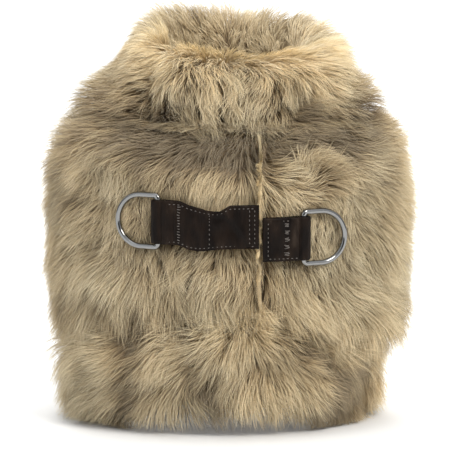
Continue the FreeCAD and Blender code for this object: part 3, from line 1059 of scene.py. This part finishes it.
def strap_path(strap):
    """The strap's middle line: from the opening, round the ring's bar, and back under."""
    side = strap["side"]
    outer, normals = strap_at(strap, np.linspace(strap["end_x"], strap["bar_x"], 110))
    centre = bar_centre(strap)
    turns = side * np.linspace(0, math.pi, 17)[1:]
    start = normals[-1]
    loop = np.stack([
        start[0] * np.cos(turns) - start[1] * np.sin(turns),
        start[0] * np.sin(turns) + start[1] * np.cos(turns),
        0 * turns,
    ], -1)
    longest = abs(strap["end_x"] - strap["bar_x"]) - STRAP_THICKNESS
    back = np.linspace(0, min(26.0, longest), 24)[1:]
    point, normal = strap_at(strap, strap["bar_x"] - side * back)
    under = STRAP_THICKNESS + 0.15
    depth = under + (2 * SLEEVE - under) * (1 - ease(back / 12.0))
    return (
        np.concatenate([outer, centre + loop * SLEEVE, point - normal * depth[:, None]]),
        np.concatenate([normals, loop, -normal]),
        len(outer),
    )


def make_strap(name, strap, body, material):
    """The turned-back strap: it dips where it is sewn, and its long edge bellies a little."""
    line, normals, outer_count = strap_path(strap)
    up = np.tile([0.0, 0.0, 1.0], (len(line), 1))
    section = rounded_section(STRAP_WIDTH, STRAP_THICKNESS)
    section = np.array(split_long_edges(section, 12))
    piece = swept(name, line, normals, up, section, material)
    shape_strap(piece.data, strap, len(section), outer_count)
    place_rigid(piece, body, name)


def split_long_edges(section, parts):
    """The outline with its long straight edges cut into short ones."""
    outline = []
    for i, point in enumerate(section):
        after = section[(i + 1) % len(section)]
        outline.append(tuple(point))
        if np.linalg.norm(after - point) > 4:
            for k in range(1, parts):
                outline.append(tuple(point + (after - point) * k / parts))
    return outline


def shape_strap(mesh, strap, sides, outer_count):
    """Small uneven dips and waves over the outer run of the strap."""
    points = np.empty(len(mesh.vertices) * 3, np.float32)
    mesh.vertices.foreach_get("co", points)
    points = points.reshape(-1, 3) / MM
    ring_of = np.arange(len(points)) // sides
    outer = ring_of < outer_count
    x, z = points[:, 0], points[:, 2] - strap["height"]
    share = np.abs(x - strap["end_x"]) / abs(strap["bar_x"] - strap["end_x"])
    wave = 0.45 * smooth_noise(x, z, 24, 61) + 0.15 * smooth_noise(x, z, 7, 62)
    key = "left" if strap["side"] < 0 else "right"
    dips = 0.7 * bell(x, BAR_TACKS[key][0], 1.8)
    for row in STITCH_ROWS[key]:
        dips += 0.5 * bell(x, row, 1.1)
    for crease in STRAP_CREASES[key]:
        dips += 0.8 * bell(x, crease, 0.7)
    settle = ease(np.minimum(share, 1 - share) / 0.12)
    out = (wave * settle - dips) * outer
    if strap["side"] < 0:
        out += outer * FOLD_RISE * ease((x - fold_line(z)) / FOLD_REACH)
    points[:, 2] -= strap_drop(strap, x, z)
    angle = np.arctan2(points[:, 0], -points[:, 1])
    points[:, 0] += out * np.sin(angle)
    points[:, 1] -= out * np.cos(angle)
    mesh.vertices.foreach_set("co", (points * MM).astype(np.float32).reshape(-1))
    mesh.update()


def strap_drop(strap, x, z):
    """How far the long strap hangs below a level line; its top edge is folded down to a notch."""
    if strap["side"] > 0:
        return 0 * x
    clear_of_ring = ease((x - strap["bar_x"] - 10) / 8)
    edge = STRAP_WIDTH / 2
    tilt = STRAP_TILT * ease((x - strap["bar_x"]) / 50)
    sag = STRAP_SAG * bell(x, -14, 14)
    belly = STRAP_BELLY * bell(x, -18, 9) * ease(-z / edge)
    notch = STRAP_NOTCH * ease(np.minimum((x + 31) / 25, (1.5 - x) / 8)) * ease(z / edge)
    return (tilt + sag + belly + notch) * clear_of_ring


def fold_line(z):
    return FOLD_TOP_X + FOLD_SLOPE * (z - STRAP_WIDTH / 2)


def place_rigid(piece, body, node):
    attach(piece, body)
    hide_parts(node)


def make_stitching(name, strap, body, key, material):
    """Short threads in rows across the strap and along the sewn box, each a bent bead."""
    threads = []
    half = STRAP_WIDTH / 2 - STITCH_INSET
    for x in STITCH_ROWS[key]:
        count = int(2 * half / STITCH_PITCH)
        for i in range(count):
            z = -half + (i + 0.5) * 2 * half / count
            threads.append(((x, z - STITCH_LENGTH / 2), (x, z + STITCH_LENGTH / 2)))
    low, high = STITCH_BOX[key]
    count = int((high - low) / STITCH_PITCH)
    for z in (-half - 0.6, half + 0.3):
        for i in range(count):
            x = low + (i + 0.5) * (high - low) / count
            threads.append(((x - STITCH_LENGTH / 2, z), (x + STITCH_LENGTH / 2, z)))
    middle, reach, groups, in_group = BAR_TACKS[key]
    for i in range(groups):
        for k in range(in_group):
            z = -half + (i + 0.5) * 2 * half / groups + (k - (in_group - 1) / 2) * BAR_TACK_PITCH
            slant = BAR_TACK_SLANT * draw.uniform(-1, 1)
            left, right = middle - reach * draw.uniform(0.5, 1.1, 2) * (1, -1)
            threads.append(((left, z - slant), (right, z + slant)))
    points, faces = [], []
    for start, end in threads:
        add_thread(points, faces, strap, start, end)
    piece = new_mesh(name, points, faces, material)
    place_rigid(piece, body, name)


def add_thread(points, faces, strap, start, end):
    """One stitch: a thin round thread that dives into the strap at both ends."""
    sides, steps = 6, 6
    share = np.linspace(0, 1, steps)
    x = start[0] + (end[0] - start[0]) * share
    z = start[1] + (end[1] - start[1]) * share
    rise = -0.35 + 0.75 * np.sin(share * math.pi) ** 0.6
    fold = FOLD_RISE * ease((x - fold_line(z)) / FOLD_REACH) if strap["side"] < 0 else 0 * x
    above = STRAP_THICKNESS / 2 - 0.3 + rise + fold
    line, normal = strap_at(strap, x)
    line = line + normal * above[:, None]
    line[:, 2] += z - strap_drop(strap, x, z)
    along = unit(line[-1] - line[0])
    faces.extend(tube_faces(steps, sides, first=len(points)))
    for k in range(steps):
        across = np.cross(along, normal[k])
        for i in range(sides):
            turn = TAU * i / sides
            radius = THREAD * (1.0 if 0 < k < steps - 1 else 0.7)
            points.append(line[k] + radius * (normal[k] * math.cos(turn) + across * math.sin(turn)))


def arc(middle, radius, start, end, count):
    """Points round a circle, without the first; angles are in quarter turns from the bar's side."""
    turns = np.linspace(start, end, count)[1:] * TAU / 4
    return [(middle[0] - radius * math.cos(t), middle[1] + radius * math.sin(t)) for t in turns]


def ring_outline():
    """The D's middle line, from the bar round the bow: distance from the bar, and height."""
    half = (RING_INNER_HEIGHT + RING_WIRE) / 2
    leg_end = RING_DEPTH - RING_WIRE - half
    flat = half - RING_CORNER
    leg = np.linspace(RING_CORNER, leg_end, 7)
    line = [(0, z) for z in np.linspace(-flat, flat, 16)]
    line += arc((RING_CORNER, flat), RING_CORNER, 0, 1, 9)
    line += [(u, half) for u in leg[1:]]
    line += arc((leg_end, 0), half, 1, 3, 49)
    line += [(u, -half) for u in leg[-2::-1]]
    line += arc((RING_CORNER, -flat), RING_CORNER, 3, 4, 9)[:-1]
    return np.array(line)


def make_ring(name, strap, body, material):
    """A bent and welded D of round wire, with the weld's slight swelling on the bar."""
    outline = ring_outline()
    turn = math.radians(strap["ring_turn"])
    way = np.array([strap["side"] * math.cos(turn), math.sin(turn), 0])
    out_of_plane = np.array([-way[1], way[0], 0.0])
    rise = np.array([0, 0, 1.0])
    line = bar_centre(strap) + outline[:, :1] * way + outline[:, 1:] * rise
    tangent = unit(np.roll(outline, -1, 0) - np.roll(outline, 1, 0))
    in_plane = tangent[:, 1:] * way - tangent[:, :1] * rise
    swell = 1 + 0.10 * bell(outline[:, 1], 0, 1.1) * (outline[:, 0] < 0.5)
    turns = np.linspace(0, TAU, 21)[:-1]
    section = RING_WIRE / 2 * np.stack([np.cos(turns), np.sin(turns)], -1)
    across = in_plane * swell[:, None]
    up = np.tile(out_of_plane, (len(line), 1)) * swell[:, None]
    piece = swept(name, line, across, up, section, material, closed=True)
    place_rigid(piece, body, name)


# ---------------------------------------------------------------- stage

def add_light(name, place_at, target, size, power, color):
    light = bpy.data.lights.new(name, "AREA")
    light.shape = "DISK"
    light.size = size
    light.energy = power
    light.color = color
    lamp = add_object(name, light)
    lamp.location = place_at
    aim(lamp, target)


def aim(item, target):
    way = Vector(target) - Vector(item.location)
    item.rotation_euler = way.to_track_quat("-Z", "Y").to_euler()


def make_world():
    """Soft light from all round, stronger from four corners and from above, weaker from level
    and dark from behind the camera, so that polished metal has something to mirror."""
    world = bpy.data.worlds.new("studio")
    world.use_nodes = True
    tree = world.node_tree
    way = add_node(tree, "TexCoord", {}, "Generated")
    split = add_node(tree, "SeparateXYZ", {"Vector": way}).node.outputs
    turn = maths(tree, "ARCTAN2", split["Y"], split["X"])
    corners = maths(tree, "COSINE", maths(tree, "MULTIPLY", turn, 4.0))
    levels = maths(tree, "COSINE", maths(tree, "MULTIPLY", split["Z"], 6.0))
    ahead = maths(tree, "MAXIMUM", maths(tree, "MULTIPLY", split["Y"], -1.0), 0.0)
    dark_card = maths(tree, "POWER", ahead, 8.0)
    strength = WORLD_STRENGTH
    for pattern, amount in ((corners, -0.24), (levels, -0.22), (dark_card, -0.75)):
        strength = maths(tree, "MULTIPLY_ADD", pattern, amount, strength)
    strength = maths(tree, "MAXIMUM", strength, 0.03)
    above = maths(tree, "POWER", maths(tree, "MAXIMUM", split["Z"], 0.0), 12.0)
    background = tree.nodes["Background"].inputs
    background["Color"].default_value = (0.97, 0.985, 1.0, 1)
    feed(tree, background["Strength"], maths(tree, "MULTIPLY_ADD", above, 2.6, strength))
    bpy.context.scene.world = world


def make_stage():
    """A pale floor, soft lights and the camera, which looks a little down at the vest's back."""
    corners = [(x * FLOOR_HALF, y * FLOOR_HALF, 0) for x, y in ((-1, -1), (1, -1), (1, 1), (-1, 1))]
    floor = bpy.data.meshes.new("floor")
    floor.from_pydata(corners, [], [[0, 1, 2, 3]])
    floor.materials.append(new_material("pale_floor", (0.95, 0.95, 0.945), 0.8)[0])
    add_object("floor", floor)

    make_world()
    for name, lamp in LAMPS.items():
        add_light(name, *lamp)

    camera = bpy.data.cameras.new("camera")
    camera.sensor_width = 36.0
    camera.lens = 18.0 / math.tan(math.radians(CAMERA_VIEW / 2))
    eye = add_object("camera", camera)
    tilt = math.radians(CAMERA_ELEVATION)
    target = (0, 0, CAMERA_AIM_HEIGHT * MM)
    eye.location = (
        0,
        -CAMERA_DISTANCE * math.cos(tilt),
        CAMERA_AIM_HEIGHT * MM + CAMERA_DISTANCE * math.sin(tilt),
    )
    aim(eye, target)
    bpy.context.scene.camera = eye
    bpy.context.scene.view_settings.view_transform = "Standard"


# ---------------------------------------------------------------- building

def make_fur(material):
    """All the fur, returned as its pieces by the CAD node that they stand for."""
    wall = wall_roots()
    above = wall["v"] > waist_line(wall["phi"])
    panel = joined(select(wall, above), edge_fringe())
    piles = plant("fur", panel, OPENING_X, material, 11)
    piles.update(plant("waistband", select(wall, ~above), OPENING_X, material, 31))
    collar = joined(collar_roots(), yoke_roots())
    piles.update(plant("collar", collar, COLLAR_OPENING_X, material, 51))
    return piles


def make_cloth(piles):
    backing = backing_material()
    lining = woven_material("lining", (0.20, 0.14, 0.09), (0.42, 0.33, 0.23), 0.45, 1500.0)
    for body in BODIES:
        short = body.removesuffix("_flap")
        sheets = (
            ("fur_backing", backing, "fur", (waist_line, WALL_TOP), (0.9, 0.2), "fur"),
            ("band_backing", backing, "fur", (hem_line, waist_line), (0.9, 0.2), "waistband"),
            ("lining_cloth", lining, "lining", (hem_line, WALL_TOP - 0.5), (-2.3, -3.1), None),
        )
        for kind, material, slot, span, lifts, zone in sheets:
            sheet = wall_sheet(f"{short}_{kind}", body, material, span, lifts, (60, 90))
            if zone is None:
                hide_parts(f"{short}_lining")
        roll = collar_sheet(f"{short}_collar_backing", body, backing)


def tape_top(phi):
    return hem_line(phi) + 11.0


def patch_span(side):
    half = STRAP_WIDTH / 2 + PATCH_MARGIN
    return STRAPS[side]["height"] - half, STRAPS[side]["height"] + half


WEB = (32.0, 52.0)
OVERLAP = (14.0, 148.0)
PATCH_MARGIN = 4
# Tapes, webbing and patches sewn to the wall: body, slot, x limits at the back or None,
# bottom and top edges, distances from the backing outside and inside.
TRIMS = {
    "chest_webbing": ("chest", "webbing", None, WEB, (-0.5, -1.9)),
    "left_webbing": ("left_flap", "webbing", (-82.9, -9.0), WEB, (-0.5, -1.9)),
    "right_webbing": ("right_flap", "webbing", (18.8, 82.9), WEB, (-0.5, -1.9)),
    "chest_hem_tape": ("chest", "tape", None, (hem_line, tape_top), (-3.7, -4.7)),
    "left_hem_tape": ("left_flap", "tape", (-71.0, -9.0), (hem_line, tape_top), (-3.7, -4.7)),
    "right_hem_tape": ("right_flap", "tape", (31.0, 71.0), (hem_line, tape_top), (-3.7, -4.7)),
    "hook_strip": ("left_flap", "hook_and_loop", (-7.0, 15.0), OVERLAP, (-0.4, -1.9)),
    "loop_strip": ("right_flap", "hook_and_loop", (-7.0, 15.0), OVERLAP, (-2.4, -3.3)),
    "underlap": ("right_flap", "lining", (-8.0, 30.0), OVERLAP, (-3.5, -4.7)),
    "left_edge_binding": ("left_flap", "tape", (15.3, 16.9), OVERLAP, (1.2, -2.0)),
    "right_edge_binding": ("right_flap", "tape", (17.1, 18.5), OVERLAP, (1.2, -2.0)),
    "left_strap_backing": ("left_flap", "webbing", (-47.5, -11.0),
                           patch_span("left"), (-0.5, -1.9)),
    "right_strap_backing": ("right_flap", "webbing", (20.0, 49.5),
                            patch_span("right"), (-0.5, -1.9)),
}


def make_trims():
    materials = {
        "webbing": woven_material("webbing", (0.10, 0.075, 0.05), (0.26, 0.205, 0.145), 0.7, 700.0),
        "tape": woven_material("tape", (0.08, 0.055, 0.035), (0.20, 0.145, 0.10), 0.65, 1100.0),
        "hook_and_loop": woven_material(
            "hook_and_loop", (0.035, 0.025, 0.018), (0.11, 0.08, 0.058), 0.85, 2100.0, sheen=0.5
        ),
        "lining": woven_material("underlap", (0.19, 0.13, 0.085), (0.40, 0.31, 0.22), 0.45, 1500.0),
    }
    for node, (body, slot, across, span, lifts) in TRIMS.items():
        grid = (40, 80) if across is None else (40, 24)
        piece = wall_sheet(f"{node}_cloth", body, materials[slot], span, lifts, grid, across)
        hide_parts(node)
    for side, name in ((-1, "left"), (1, "right")):
        make_leg_binding(f"{name}_leg_binding", side, materials["tape"])


def make_leg_binding(node, side, material):
    """Tape folded over the edge of a leg hole, from the lining to the fur side."""
    turns = np.linspace(0, TAU, 73)[:-1]
    outline = rounded_section(LEG_BINDING_WIDTH, 7.0)
    rings = []
    for u, w in outline:
        x = side * LEG_X + (LEG_HALF_WIDTH + LEG_BINDING_WIDTH / 2 + w) * np.cos(turns)
        z = LEG_Z + (LEG_HALF_HEIGHT + LEG_BINDING_WIDTH / 2 + w) * np.sin(turns)
        phi = math.pi - np.arcsin(x / smooth_rows(z, BACKING, 1))
        rings.append(wall_point(phi, z, u - 0.7))
    points = np.stack(rings, 1).reshape(-1, 3)
    faces = tube_faces(len(turns), len(outline), closed=True)
    piece = new_mesh(f"{node}_tape", points, faces, material)
    place_rigid(piece, "chest", node)


def make_hardware():
    leather, thread, chrome = strap_material(), thread_material(), chrome_material()
    for key, strap in STRAPS.items():
        body = f"{key}_flap"
        make_strap(f"{key}_strap", strap, body, leather)
        make_stitching(f"{key}_strap_stitching", strap, body, key, thread)
        make_ring(f"{key}_d_ring", strap, f"{key}_ring", chrome)


make_stage()
make_hardware()
make_trims()
make_cloth(make_fur(fur_material()))
